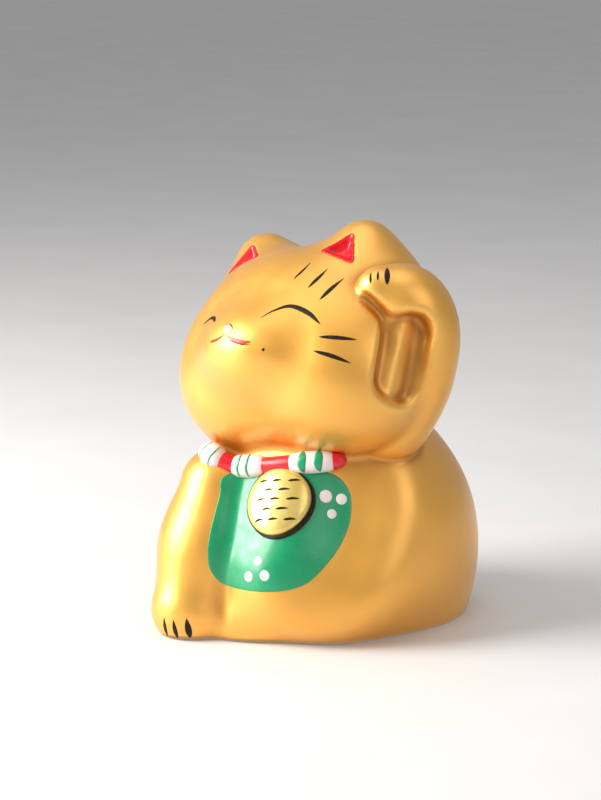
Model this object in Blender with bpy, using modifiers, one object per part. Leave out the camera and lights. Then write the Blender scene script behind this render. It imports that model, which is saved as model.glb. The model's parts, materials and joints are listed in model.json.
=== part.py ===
"""Gold ceramic beckoning cat: slip-cast body, head, arm and leg, with applied relief and a base plug.

The cat faces -Y and raises its left paw, which is on +X. It sits on the plane z = 0, and the middle
of its bounding box is above the origin. Clay lumps are ellipsoids and tapered capsules that a voxel
remesh joins and a smoothing pass blends, the way a modeller works slip into the joins.
"""
import math

import bmesh
import bpy
from mathutils import Euler, Matrix, Vector

# Driving dimensions, in millimetres. MM turns them into metres.
MM = 0.001
CENTRE = Vector((1.19, -2.74, 0.0))    # middle of the bounding box, measured from the body's axis
GAP = 0.3                              # air left between neighbouring pieces
BODY_WALL = 3.2
HEAD_WALL = 3.0
VOXEL = 1.0
BLEND_STEPS = 6

# Body: (centre, radii) of each clay lump, measured from the body's axis.
BODY_LUMPS = [
    ((0.0, 1.8, 17.0), (26.0, 24.5, 26.0)),
    ((-11.5, 7.4, 8.6), (12.6, 15.7, 20.4)),
    ((11.5, 7.4, 8.6), (12.6, 15.7, 20.4)),
    ((2.0, -8.6, 11.0), (19.7, 19.0, 14.8)),
]
TAIL_START = (3.5, 23.0, 6.0)
TAIL_END = (-3.5, 23.6, 11.0)
TAIL_RADII = (3.6, 3.0)
NECK_HOLE = ((-1.0, -4.0), 6.0)        # (x, y) and radius of the way through between body and head

# Underside: foot ring, seat for the plug's flange, pour hole.
BASE_FLOOR = 4.6
RING_INNER_RADIUS = 13.0
RING_DEPTH = 0.8
SEAT_RADIUS = 8.2
SEAT_DEPTH = 2.1
POUR_RADIUS = 5.5
POUR_CENTRE = (0.0, 2.0)

# Head: lumps in the head's own frame, which tips forward, leans and turns to the cat's right.
HEAD_CENTRE = Vector((-1.5, -7.0, 51.0))
HEAD_TURN = Euler((math.radians(-23.0), math.radians(-11.5), math.radians(-9.0)), "XYZ")
CRANIUM = ((0.0, 0.0, 2.3), (23.0, 17.0, 17.5))
CHEEKS = [((side * 11.0, 1.0, -5.4), (14.5, 15.0, 13.0)) for side in (-1, 1)]
MUZZLE = ((0.0, -12.4, -3.0), (11.0, 7.4, 7.4))
EAR_ROOT = (10.5, 2.8, 12.2)
EAR_TIP = (12.0, -0.5, 18.8)
EAR_RADII = (9.5, 5.3)
POCKET_DEPTH = 1.9
POCKETS = {
    "left": ((8.9, -8.9, 16.4), (13.4, -5.6, 20.3), (15.8, -7.6, 13.7)),
    "right": ((-6.9, -8.6, 17.0), (-11.1, -5.8, 20.5), (-13.6, -9.3, 13.8)),
}
LINING_THICKNESS = 0.8

# Raised arm and planted leg: chains of (centre, radius).
ARM_CHAIN = [((15.0, -3.2, 38.0), 7.2), ((20.8, -6.4, 48.5), 6.8), ((21.2, -7.2, 57.0), 7.3),
             ((19.4, -9.4, 61.8), 6.5), ((16.6, -13.4, 63.6), 4.8)]
LEG_CHAIN = [((-14.6, -16.0, 26.0), 7.4), ((-15.0, -19.7, 16.0), 7.7), ((-15.5, -24.6, 4.6), 7.5)]
CHEEK_GROOVE = [((21.2, -15.8, 57.6), 1.6), ((21.0, -18.4, 46.2), 1.6)]
ARM_HOLLOW = [((24.6, -12.6, 56.8), 3.2), ((23.0, -14.4, 46.8), 2.8)]

# Applied relief on the chest.
COLLAR_RADIUS = 1.2
COLLAR_PATH = [(-17.2, -19.0, 33.0), (-12.4, -20.5, 32.2), (-9.0, -19.8, 31.2), (-3.4, -19.2, 31.7),
               (1.8, -18.7, 32.5), (6.4, -17.4, 33.2), (10.6, -15.4, 33.7)]
BEAD_RADIUS = 2.1
BEADS = {                               # (centre, half length, heading about Z in degrees)
    "right": ((-14.9, -19.8, 32.6), 3.0, -17.0),
    "centre": ((-6.2, -19.5, 31.4), 3.4, 6.0),
    "left": ((5.6, -17.7, 33.1), 4.4, 19.0),
}
BIB_CENTRE = (2.3, 20.8)               # (x, z)
BIB_RADII = (12.0, 10.2)
BIB_LIFT = (0.3, 1.2)                  # from the chest to the bib's back and to its face
COIN_CENTRE = (1.2, -22.8, 25.6)
COIN_RADII = (6.0, 2.1, 6.4)
COIN_TURN = Euler((math.radians(-29.0), math.radians(9.0), 0.0), "XYZ")

# Plug: a soft cup with a flange that hides in the foot ring.
PLUG_FLANGE_RADIUS = 7.8
PLUG_FLANGE_Z = (0.7, 1.8)
PLUG_BARREL_RADII = (5.2, 4.7)         # below the flange and at the top
PLUG_TOP_Z = 8.6
PLUG_CUP = (3.4, 3.2)                  # radius of the hollow and height of its floor
PLUG_DIMPLE = (2.6, 1.3)               # radius and height of the dimple under the flange

GOLD = (0.86, 0.55, 0.16, 1.0)
RED = (0.72, 0.01, 0.02, 1.0)
WHITE = (0.85, 0.80, 0.78, 1.0)
GREEN = (0.0, 0.34, 0.14, 1.0)
PALE_GOLD = (0.88, 0.66, 0.24, 1.0)
GREY = (0.42, 0.42, 0.40, 1.0)


def clear_scene():
    for old in list(bpy.data.objects):
        bpy.data.objects.remove(old)


def new_collection(name):
    collection = bpy.data.collections.new(name)
    bpy.context.scene.collection.children.link(collection)
    return collection


def place(point):
    """A point measured in millimetres from the body's axis, as metres from the origin."""
    return (Vector(point) - CENTRE) * MM


def finish(name, colour, roughness, metallic=0.0):
    material = bpy.data.materials.new(name)
    material.use_nodes = True
    shader = material.node_tree.nodes["Principled BSDF"]
    shader.inputs["Base Color"].default_value = colour
    shader.inputs["Roughness"].default_value = roughness
    shader.inputs["Metallic"].default_value = metallic
    return material


def object_of(name, mesh, collection):
    made = bpy.data.objects.new(name, mesh)
    collection.objects.link(made)
    return made


def mesh_of(bm, name):
    mesh = bpy.data.meshes.new(name)
    bm.to_mesh(mesh)
    bm.free()
    return mesh


def add_ellipsoid(bm, centre, radii, turn=None, segments=32):
    """One ellipsoid lump; turn is its own rotation about its centre."""
    matrix = Matrix.Translation(place(centre))
    if turn is not None:
        matrix = matrix @ turn.to_matrix().to_4x4()
    matrix = matrix @ Matrix.Diagonal(Vector(radii) * MM).to_4x4()
    bmesh.ops.create_uvsphere(bm, u_segments=segments, v_segments=segments // 2, radius=1.0, matrix=matrix)


def add_hull(bm, points):
    """The convex hull of some points, as a closed lump."""
    verts = [bm.verts.new(point) for point in points]
    result = bmesh.ops.convex_hull(bm, input=verts)
    spare = [item for item in result["geom_interior"] if isinstance(item, bmesh.types.BMVert)]
    bmesh.ops.delete(bm, geom=spare, context="VERTS")


def sphere_points(centre, radius):
    ball = bmesh.new()
    bmesh.ops.create_uvsphere(ball, u_segments=24, v_segments=12, radius=radius * MM,
                              matrix=Matrix.Translation(place(centre)))
    points = [vert.co.copy() for vert in ball.verts]
    ball.free()
    return points


def add_chain(bm, chain):
    """Tapered capsules from each ball of a chain to the next."""
    for (start, start_radius), (end, end_radius) in zip(chain, chain[1:]):
        add_hull(bm, sphere_points(start, start_radius) + sphere_points(end, end_radius))


def in_head(point):
    """A point of the head's frame, measured from the body's axis."""
    return HEAD_CENTRE + HEAD_TURN.to_matrix() @ Vector(point)


def evaluated(target):
    """Replace an object's mesh by what its modifiers make of it."""
    graph = bpy.context.evaluated_depsgraph_get()
    mesh = bpy.data.meshes.new_from_object(target.evaluated_get(graph))
    target.modifiers.clear()
    target.data = mesh
    return target


def worked_clay(target, triangles):
    """Join overlapping lumps into one skin, blend the joins and thin the mesh."""
    remesh = target.modifiers.new("join", "REMESH")
    remesh.mode = "VOXEL"
    remesh.voxel_size = VOXEL * MM
    smooth = target.modifiers.new("blend", "SMOOTH")
    smooth.factor = 0.5
    smooth.iterations = BLEND_STEPS
    evaluated(target)
    faces = sum(len(face.vertices) - 2 for face in target.data.polygons)
    thin = target.modifiers.new("thin", "DECIMATE")
    thin.ratio = triangles / faces
    return evaluated(target)


def grown(source, distance, name):
    """A guide copy of a closed object with its skin moved out by a distance in millimetres."""
    mesh = source.data.copy()
    for vert in mesh.vertices:
        vert.co += vert.normal * distance * MM
    return object_of(name, mesh, GUIDES)


def combine(target, tool, operation):
    boolean = target.modifiers.new(tool.name, "BOOLEAN")
    boolean.object = tool
    boolean.operation = operation
    boolean.solver = "EXACT"


def cut(target, *tools):
    for tool in tools:
        combine(target, tool, "DIFFERENCE")
    return evaluated(target)


def keep(target, *tools):
    for tool in tools:
        combine(target, tool, "INTERSECT")
    return evaluated(target)


def cylinder(name, centre, radius, low, high, collection, sides=48):
    bm = bmesh.new()
    middle = place((centre[0], centre[1], (low + high) / 2))
    bmesh.ops.create_cone(bm, cap_ends=True, segments=sides, radius1=radius * MM, radius2=radius * MM,
                          depth=(high - low) * MM, matrix=Matrix.Translation(middle))
    return object_of(name, mesh_of(bm, name), collection)


def block_below(height):
    """A guide block with its top at a height, wide enough to trim anything under it."""
    bm = bmesh.new()
    size = Matrix.Diagonal((0.12, 0.12, 0.04)).to_4x4()
    bmesh.ops.create_cube(bm, size=1.0, matrix=Matrix.Translation((0, 0, height * MM - 0.02)) @ size)
    return object_of("below_%g" % height, mesh_of(bm, "block"), GUIDES)


def lumps(name, ellipsoids=(), chains=(), triangles=1000, shrink=0.0, turn=None):
    """Worked clay from ellipsoids and chains; shrink takes a wall's thickness off the ellipsoids."""
    bm = bmesh.new()
    for centre, radii in ellipsoids:
        add_ellipsoid(bm, centre, [radius - shrink for radius in radii], turn)
    for chain in chains:
        add_chain(bm, chain)
    return worked_clay(object_of(name, mesh_of(bm, name), GUIDES), triangles)


def head_lumps(names):
    return [(in_head(centre), radii) for centre, radii in names]


def drop_crumbs(target):
    """Delete the loose crumbs that a cut can leave beside the piece itself."""
    bm = bmesh.new()
    bm.from_mesh(target.data)
    islands = []
    waiting = set(bm.verts)
    while waiting:
        island = {waiting.pop()}
        edge_of_island = list(island)
        while edge_of_island:
            vert = edge_of_island.pop()
            near = {edge.other_vert(vert) for edge in vert.link_edges} - island
            island |= near
            edge_of_island.extend(near)
        waiting -= island
        islands.append(island)
    biggest = max(islands, key=len)
    crumbs = [vert for vert in bm.verts if vert not in biggest]
    bmesh.ops.delete(bm, geom=crumbs, context="VERTS")
    bm.to_mesh(target.data)
    bm.free()


def dress(target, material):
    """Move a finished piece into the cat's collection, give it its material and shade it smooth."""
    drop_crumbs(target)
    GUIDES.objects.unlink(target)
    CAT.objects.link(target)
    target.data.materials.clear()
    target.data.materials.append(material)
    target.data.shade_smooth()
    target.data.set_sharp_from_angle(angle=math.radians(35.0))
    return target


def as_piece(source, name):
    return object_of(name, source.data.copy(), GUIDES)


def body_shell(hull, material):
    """Hollow body: walls, floor, foot ring, flange seat, pour hole and the opening under the head."""
    hollow = lumps("body_hollow", BODY_LUMPS, triangles=800, shrink=BODY_WALL)
    cut(hollow, block_below(BASE_FLOOR))
    neck = cylinder("neck_hole", *NECK_HOLE, 30.0, 50.0, GUIDES)
    ring = cylinder("foot_ring", POUR_CENTRE, RING_INNER_RADIUS, -2.0, RING_DEPTH, GUIDES)
    seat = cylinder("flange_seat", POUR_CENTRE, SEAT_RADIUS, -2.0, SEAT_DEPTH, GUIDES)
    pour = cylinder("pour_hole", POUR_CENTRE, POUR_RADIUS, -2.0, BASE_FLOOR + 2.0, GUIDES)
    return dress(cut(as_piece(hull, "body_shell"), hollow, neck, ring, seat, pour), material)


def chain_guide(name, chain):
    bm = bmesh.new()
    add_chain(bm, chain)
    return object_of(name, mesh_of(bm, name), GUIDES)


def head_shell(hull, clearance, groove, material):
    """Hollow head, open where it sits on the body, with a pocket in each ear."""
    hollow = lumps("head_hollow", head_lumps([CRANIUM, *CHEEKS]), triangles=600, shrink=HEAD_WALL,
                   turn=HEAD_TURN)
    pockets = [ear_wedge("pocket_" + side, corners, -6.0, POCKET_DEPTH, 0.0, GUIDES)
               for side, corners in POCKETS.items()]
    return dress(cut(as_piece(hull, "head_shell"), clearance, hollow, groove, *pockets), material)


def ear_wedge(name, corners, top, bottom, inset, collection):
    """A three-sided wedge along an ear's inward normal, from depth top to depth bottom.

    Its sides slope in towards the floor, and inset draws them in further all round.
    """
    corners = [Vector(corner) for corner in corners]
    middle = sum(corners, Vector()) / 3
    inward = (corners[1] - corners[0]).cross(corners[2] - corners[0]).normalized()
    if inward.y < 0:
        inward.negate()
    bm = bmesh.new()
    points = []
    for depth in (top, bottom):
        for corner in corners:
            spoke = corner - middle
            reach = spoke.length - inset - 0.6 * max(depth, 0.0)
            points.append(place(in_head(middle + spoke.normalized() * reach + inward * depth)))
    add_hull(bm, points)
    return object_of(name, mesh_of(bm, name), collection)


def ear_lining(side, corners, material):
    """A thin three-sided tile on the floor of an ear pocket."""
    floor = POCKET_DEPTH - GAP
    tile = ear_wedge("ear_lining_" + side, corners, floor - LINING_THICKNESS, floor, 2.2 * GAP, GUIDES)
    return dress(tile, material)


def limb(name, chain, triangles, material, *clearances):
    """A solid casting built as a chain of balls, scooped where it meets its neighbours."""
    return dress(cut(lumps(name, chains=[chain], triangles=triangles), *clearances), material)


def collar_tube(name, radius, collection):
    """The rolled band that follows the crease between chin and chest, with rounded ends."""
    curve = bpy.data.curves.new(name, "CURVE")
    curve.dimensions = "3D"
    curve.bevel_depth = radius * MM
    curve.bevel_resolution = 3
    curve.resolution_u = 3
    curve.use_fill_caps = True
    spline = curve.splines.new("BEZIER")
    spline.bezier_points.add(len(COLLAR_PATH) - 1)
    for point, where in zip(spline.bezier_points, COLLAR_PATH):
        point.co = place(where)
        point.handle_left_type = "AUTO"
        point.handle_right_type = "AUTO"
    wire = object_of(name + "_wire", curve, GUIDES)
    graph = bpy.context.evaluated_depsgraph_get()
    mesh = bpy.data.meshes.new_from_object(wire.evaluated_get(graph))
    bpy.data.objects.remove(wire)
    bm = bmesh.new()
    bm.from_mesh(mesh)
    bmesh.ops.remove_doubles(bm, verts=bm.verts, dist=0.00001)
    bmesh.ops.recalc_face_normals(bm, faces=bm.faces)
    return object_of(name, mesh_of(bm, name), collection)


def bead(side, material, *clearances):
    """A bead threaded on the band, flat where it lies on the chest."""
    centre, half_length, heading = BEADS[side]
    bm = bmesh.new()
    turn = Euler((0.0, 0.0, math.radians(heading)), "XYZ")
    add_ellipsoid(bm, centre, (half_length, BEAD_RADIUS, BEAD_RADIUS), turn, segments=24)
    name = "collar_bead_" + side
    return dress(cut(object_of(name, mesh_of(bm, name), GUIDES), *clearances), material)


def bib_outline(height_from, height_to):
    """An oval prism that runs front to back through the chest."""
    bm = bmesh.new()
    middle = place((BIB_CENTRE[0], (height_from + height_to) / 2, BIB_CENTRE[1]))
    turn = Matrix.Rotation(math.radians(90.0), 4, "X")
    size = Matrix.Diagonal((BIB_RADII[0] * MM, BIB_RADII[1] * MM, (height_to - height_from) * MM)).to_4x4()
    bmesh.ops.create_cone(bm, cap_ends=True, segments=40, radius1=1.0, radius2=1.0, depth=1.0,
                          matrix=Matrix.Translation(middle) @ turn @ size)
    return object_of("bib_outline", mesh_of(bm, "bib_outline"), GUIDES)


def bib(hull, material, *clearances):
    """A slab of even thickness that follows the chest inside an oval outline."""
    back = grown(hull, BIB_LIFT[0], "bib_back")
    slab = grown(hull, BIB_LIFT[1], "bib")
    return dress(cut(keep(slab, bib_outline(-40.0, -6.0)), back, *clearances), material)


def koban_coin(hull, material, *clearances):
    """A domed oval coin that lies on the bib and leans to the cat's left."""
    bm = bmesh.new()
    add_ellipsoid(bm, COIN_CENTRE, COIN_RADII, COIN_TURN)
    coin = object_of("koban_coin", mesh_of(bm, "koban_coin"), GUIDES)
    seat = grown(hull, BIB_LIFT[1] + GAP, "coin_seat")
    return dress(cut(coin, seat, *clearances), material)


def base_stopper(material):
    """A turned plug: profile from the cup's floor, over the rim, down the outside and back to the axis."""
    flange_low, flange_high = PLUG_FLANGE_Z
    profile = [(0.0, PLUG_CUP[1]), (PLUG_CUP[0], PLUG_CUP[1]), (PLUG_CUP[0], PLUG_TOP_Z),
               (PLUG_BARREL_RADII[1], PLUG_TOP_Z), (PLUG_BARREL_RADII[0], flange_high),
               (PLUG_FLANGE_RADIUS, flange_high), (PLUG_FLANGE_RADIUS, flange_low),
               (PLUG_DIMPLE[0], flange_low), (0.0, PLUG_DIMPLE[1])]
    bm = bmesh.new()
    verts = [bm.verts.new((x * MM, 0.0, z * MM)) for x, z in profile]
    for low, high in zip(verts, verts[1:]):
        bm.edges.new((low, high))
    plug = object_of("base_stopper", mesh_of(bm, "base_stopper"), GUIDES)
    screw = plug.modifiers.new("turn", "SCREW")
    screw.steps = 32
    screw.render_steps = 32
    screw.use_merge_vertices = True
    screw.merge_threshold = 0.00005
    evaluated(plug)
    plug.location = place((*POUR_CENTRE, 0.0))
    return dress(plug, material)


def hide_guides():
    for guide in GUIDES.objects:
        guide.hide_render = True
        guide.display_type = "WIRE"


def build():
    gold = finish("gold_lacquer", GOLD, 0.32, 0.55)
    red = finish("red_enamel", RED, 0.18)
    white = finish("white_enamel", WHITE, 0.2)
    green = finish("green_enamel", GREEN, 0.15)
    pale_gold = finish("pale_gold_enamel", PALE_GOLD, 0.25, 0.5)
    grey = finish("grey_soft_plastic", GREY, 0.6)

    ground = block_below(0.0)
    tail = [(TAIL_START, TAIL_RADII[0]), (TAIL_END, TAIL_RADII[1])]
    body_hull = cut(lumps("body_hull", BODY_LUMPS, [tail], triangles=2600), ground)
    body_near = grown(body_hull, GAP, "body_near")
    skull = head_lumps([CRANIUM, *CHEEKS, MUZZLE])
    head_hull = lumps("head_hull", skull, turn=HEAD_TURN, triangles=2200,
                      chains=[[(in_head((side * EAR_ROOT[0], *EAR_ROOT[1:])), EAR_RADII[0]),
                               (in_head((side * EAR_TIP[0], *EAR_TIP[1:])), EAR_RADII[1])] for side in (-1, 1)])
    head_near = grown(head_hull, GAP, "head_near")
    groove = chain_guide("cheek_groove", CHEEK_GROOVE)
    arm_hollow = chain_guide("arm_hollow", ARM_HOLLOW)

    body_shell(body_hull, gold)
    head_shell(head_hull, body_near, groove, gold)
    limb("raised_arm", ARM_CHAIN, 1000, gold, body_near, head_near, groove, arm_hollow)
    leg = limb("planted_leg", LEG_CHAIN, 700, gold, ground, body_near, head_near)
    leg_near = grown(leg, GAP, "leg_near")
    for side, corners in POCKETS.items():
        ear_lining(side, corners, red)

    band_near = collar_tube("band_near", COLLAR_RADIUS + GAP, GUIDES)
    beads = [bead(side, white, band_near, body_near, head_near, leg_near) for side in BEADS]
    beads_near = [grown(each, GAP, each.name + "_near") for each in beads]
    dress(cut(collar_tube("collar_band", COLLAR_RADIUS, GUIDES), body_near, head_near, leg_near), red)
    koban_coin(body_hull, pale_gold, band_near, *beads_near)
    bib(body_hull, green, band_near, leg_near, *beads_near)
    base_stopper(grey)
    hide_guides()


clear_scene()
CAT = new_collection("beckoning_cat")
GUIDES = new_collection("guides")
build()
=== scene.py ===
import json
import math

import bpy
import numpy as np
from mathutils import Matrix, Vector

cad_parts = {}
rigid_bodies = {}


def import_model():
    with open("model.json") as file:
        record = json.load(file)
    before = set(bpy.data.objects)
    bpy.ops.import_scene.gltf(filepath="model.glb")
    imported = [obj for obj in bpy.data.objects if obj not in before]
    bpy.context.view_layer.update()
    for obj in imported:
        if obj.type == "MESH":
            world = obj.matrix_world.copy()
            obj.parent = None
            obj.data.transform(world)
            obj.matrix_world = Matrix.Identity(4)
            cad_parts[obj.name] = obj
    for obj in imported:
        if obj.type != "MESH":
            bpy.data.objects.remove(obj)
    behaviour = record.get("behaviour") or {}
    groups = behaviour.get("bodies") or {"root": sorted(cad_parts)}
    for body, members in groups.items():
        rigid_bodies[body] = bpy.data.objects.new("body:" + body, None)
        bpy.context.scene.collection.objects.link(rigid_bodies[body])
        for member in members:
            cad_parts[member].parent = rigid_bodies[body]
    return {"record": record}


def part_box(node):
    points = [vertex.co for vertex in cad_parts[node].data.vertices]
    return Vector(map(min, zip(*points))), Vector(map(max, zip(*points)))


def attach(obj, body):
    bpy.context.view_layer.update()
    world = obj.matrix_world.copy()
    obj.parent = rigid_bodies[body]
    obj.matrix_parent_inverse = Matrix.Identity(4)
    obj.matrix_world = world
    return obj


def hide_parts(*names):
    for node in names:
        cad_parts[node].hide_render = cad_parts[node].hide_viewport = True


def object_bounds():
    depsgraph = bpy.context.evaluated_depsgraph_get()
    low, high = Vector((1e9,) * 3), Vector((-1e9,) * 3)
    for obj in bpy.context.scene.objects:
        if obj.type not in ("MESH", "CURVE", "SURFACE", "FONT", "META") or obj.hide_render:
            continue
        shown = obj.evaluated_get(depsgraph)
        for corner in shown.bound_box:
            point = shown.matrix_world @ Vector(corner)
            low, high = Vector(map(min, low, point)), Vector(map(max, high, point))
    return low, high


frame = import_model()
cad_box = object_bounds()

# Looks of the gold ceramic beckoning cat.
#
# The castings are luted and fired together, so one continuous glazed skin stands for all four. Its
# shape is a signed distance field: ellipsoids, capsules and strings of balls blended with a smooth
# minimum, then hollowed. Enamel and brushed marks are thin closed pieces laid on that skin. Lengths
# are millimetres, measured from the body's axis, which the CAD plug marks; to_world turns them into
# metres in the frame.

PLUG_FROM_AXIS = np.array([0.0, 2.0, 0.0])
CAD_HEIGHT = 75.587
SKIN_CELL = 0.6  # grid of the skin's polygons
LINING_CELL = 0.13
BAND_CELL = 0.25
BEAD_CELL = 0.18

plug_low, plug_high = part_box("base_stopper")
plug_middle = np.array([(plug_low.x + plug_high.x) / 2, (plug_low.y + plug_high.y) / 2, cad_box[0][2]])
UNIT = (cad_box[1][2] - cad_box[0][2]) / CAD_HEIGHT  # one of this file's millimetres, in metres
AXIS = plug_middle - PLUG_FROM_AXIS * UNIT
GOLD_BODY = frame["record"]["behaviour"]["joints"][0]["parent"]
PLUG_BODY = frame["record"]["behaviour"]["joints"][0]["child"]


# ---------------- distance fields

def vec(*values):
    return np.array(values, float)


def turn_matrix(x, y, z):
    """Rotation about X, then Y, then Z, in degrees."""
    x, y, z = np.radians([x, y, z])
    about_x = np.array([[1, 0, 0], [0, np.cos(x), -np.sin(x)], [0, np.sin(x), np.cos(x)]])
    about_y = np.array([[np.cos(y), 0, np.sin(y)], [0, 1, 0], [-np.sin(y), 0, np.cos(y)]])
    about_z = np.array([[np.cos(z), -np.sin(z), 0], [np.sin(z), np.cos(z), 0], [0, 0, 1]])
    return about_z @ about_y @ about_x


def ellipsoid(points, centre, radii):
    near = (points - centre) / radii
    reach = np.linalg.norm(near, axis=-1)
    slope = np.linalg.norm(near / radii, axis=-1)
    return reach * (reach - 1) / np.maximum(slope, 1e-9)


def capsule(points, start, end, start_radius, end_radius):
    """Distance to a tapered capsule between two balls."""
    start, end = vec(*start), vec(*end)
    axis = end - start
    length = np.linalg.norm(axis)
    axis = axis / length
    taper = (start_radius - end_radius) / length
    from_start = points - start
    along = from_start @ axis
    across = np.linalg.norm(from_start - along[..., None] * axis, axis=-1)
    rise = math.sqrt(1 - taper * taper)
    position = np.clip((along + across * taper / rise) / length, 0, 1)
    nearest = start + (position * length)[..., None] * axis
    radius = start_radius + (end_radius - start_radius) * position
    return np.linalg.norm(points - nearest, axis=-1) - radius


def chain(points, balls, blend):
    distance = None
    for (start, start_radius), (end, end_radius) in zip(balls, balls[1:]):
        link = capsule(points, start, end, start_radius, end_radius)
        distance = link if distance is None else join(distance, link, blend)
    return distance


def join(first, second, blend):
    """Union with the corner between the two filled over a blend width."""
    near = np.maximum(blend - np.abs(first - second), 0) / blend
    return np.minimum(first, second) - near * near * blend / 4


def overlap(first, second, blend):
    return -join(-first, -second, blend)


def carve(first, second, blend):
    return overlap(first, -second, blend)


def rope(points, balls, blend=0.4):
    """Distance to a smooth string of balls, each a row of x, y, z and radius."""
    squares = ((points ** 2).sum(axis=-1)[..., None] - 2 * points @ balls[:, :3].T
               + (balls[:, :3] ** 2).sum(axis=1))
    reach = (np.sqrt(np.maximum(squares, 1e-9)) - balls[:, 3]) / blend
    nearest = reach.min(axis=-1)
    return blend * (nearest - np.log(np.exp(nearest[..., None] - reach).sum(axis=-1)))


def smooth_path(points, count):
    """A Catmull-Rom curve through some points, as evenly spaced samples."""
    points = np.array(points, float)
    padded = np.concatenate([[2 * points[0] - points[1]], points, [2 * points[-1] - points[-2]]])
    fine = []
    for a, b, c, d in zip(padded, padded[1:], padded[2:], padded[3:]):
        t = np.linspace(0, 1, 24, endpoint=False)[:, None]
        fine.append(0.5 * (2 * b + (c - a) * t + (2 * a - 5 * b + 4 * c - d) * t ** 2
                           + (3 * b - a - 3 * c + d) * t ** 3))
    fine = np.concatenate([*fine, points[-1:]])
    travel = np.concatenate([[0], np.cumsum(np.linalg.norm(np.diff(fine, axis=0), axis=1))])
    at = np.linspace(0, travel[-1], count)
    return np.stack([np.interp(at, travel, column) for column in fine.T], axis=1)


# ---------------- the cat's clay

HEAD_CENTRE = vec(-1.5, -7.0, 51.0)
HEAD_TURN = turn_matrix(-23.0, -11.5, -9.0)

# ellipsoids as centre and radii; those of the head are in its own frame
CRANIUM = (vec(0, 0, 2.3), vec(23, 17, 17.5))
CHEEK = (vec(11, 1, -5.4), vec(14.5, 15, 13))
MUZZLE = (vec(0, -15, -3), vec(8, 6, 6))
TRUNK = (vec(0, 1.8, 17), vec(26, 24.5, 26))
HAUNCH = (vec(11.5, 7.4, 8.6), vec(12.6, 15.7, 20.4))
CHEST = (vec(2, -8.6, 11), vec(19.7, 19, 14.8))
TOE_WEB = (vec(-9, -19, 2), vec(10, 8, 6))

# widths over which two shapes flow into each other
CHEEK_BLEND = 8
MUZZLE_BLEND = 7
EAR_BLEND = 5
TRUNK_BLEND = 6
HAUNCH_BLEND = 7
TAIL_BLEND = 2.5
LEG_BLEND = 2.2
HEAD_BLEND = 2.5
ARM_BLEND = 1.2
RECESS_BLEND = 1.6
GROOVE_BLEND = 0.9
POCKET_BLEND = 0.5
HOLLOW_BLEND = 1.5
WALL_BLEND = 1.0
FOOT_ROUNDING = 0.6
HOLLOW_ROUNDING = 0.4
OPENING_ROUNDING = 0.3

ARM = smooth_path([(16.3, -12.6, 65.9, 3.0), (18.1, -9.6, 64.2, 4.8), (20.2, -7.7, 62.9, 6.2),
                   (21.7, -5.9, 59.6, 6.3), (22.4, -5.1, 55.6, 5.9), (21.7, -5.1, 50.9, 5.9),
                   (20.1, -4.8, 46.9, 6.2), (17.8, -4.8, 42.9, 6.4), (15.2, -4.6, 38.8, 6.4)], 36)
LEG = [((-14.6, -16.0, 26.0), 7.4), ((-15.0, -19.7, 16.0), 7.7), ((-15.5, -24.6, 4.6), 7.5)]
CHEEK_GROOVE = smooth_path([(16.0, -15.8, 64.8, 0.15), (17.3, -15.4, 63.4, 0.20), (18.7, -14.9, 61.8, 0.25),
                            (19.8, -14.6, 60.2, 0.40), (20.4, -14.7, 58.5, 0.70), (20.7, -15.4, 56.2, 0.85),
                            (21.0, -16.9, 53.4, 0.85), (20.9, -18.2, 50.0, 0.65)], 60)
HAUNCH_CREASE = smooth_path([(17.0, -20.7, 34.0, 9.0), (18.0, -22.6, 29.3, 9.0), (18.7, -25.7, 22.7, 9.0),
                             (18.2, -29.2, 17.1, 9.0), (16.0, -32.1, 12.4, 9.0)], 14)
RECESS_OUT = vec(0.470, -0.860, 0.202)  # the way the hollow between cheek and arm opens
RECESS_ACROSS = vec(0.883, 0.469, 0.0)
RECESS_UP = np.cross(RECESS_OUT, RECESS_ACROSS)
RECESS_FRAME = np.column_stack([RECESS_ACROSS, RECESS_UP, np.zeros(3)])
RECESS_TOP, RECESS_BOTTOM = (13.95, 52.0, 0.0), (12.55, 44.2, 0.0)
RECESS_RADIUS = 3.9
RECESS_FLOOR = 32.4  # along RECESS_OUT, at the top of the cheek's side
RECESS_RISE = 0.9  # of the floor from top to bottom
RECESS_FALL = (2.4, 0.9)  # towards the arm: at the top, and more at the bottom
RECESS_STEP = (6, 0.12)  # how sharp that fall is, and where it lies
RECESS_LEAN = 0.35  # outward slope of the wall on the arm's side
TAIL = ((3.5, 23.0, 6.0), (-3.5, 23.6, 11.0), 3.6, 3.0)
POCKET_DEPTH = 1.9
POCKET_SLOPE = 0.45
POCKET_CORNER = 0.8
POCKET_REACH = 6
POCKETS = {
    "left": ((8.9, -8.9, 16.4), (13.4, -5.6, 20.3), (15.8, -7.6, 13.7)),
    "right": ((-6.9, -8.6, 17.0), (-11.1, -5.8, 20.5), (-13.6, -9.3, 13.8)),
}
BODY_WALL = 3.2
HEAD_WALL = 3.0
THIN_WALL = 2.4
BASE_FLOOR = 4.6
POUR_CENTRE = (0.0, 2.0)
UNDERSIDE = [(13.0, 0.8), (8.2, 2.1), (5.5, 7.0)]  # radius and height of ring recess, seat, pour hole
NECK = ((-1.0, -4.0, 30.0), (-1.0, -5.0, 46.0), 6.0, 6.0)


# one ear in the head's frame: two broad feet that narrow to nearly the same round tip
EAR = np.concatenate([smooth_path([(10.5, 2.8, 12.2, 9.5), (12.0, -0.5, 18.8, 4.8)], 9),
                      smooth_path([(15.1, 3.8, 11.2, 7.4), (12.2, -0.3, 19.2, 4.5)], 9)])


def to_head(points):
    return (points - HEAD_CENTRE) @ HEAD_TURN


def from_head(points):
    return HEAD_CENTRE + np.atleast_2d(points) @ HEAD_TURN.T


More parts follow.
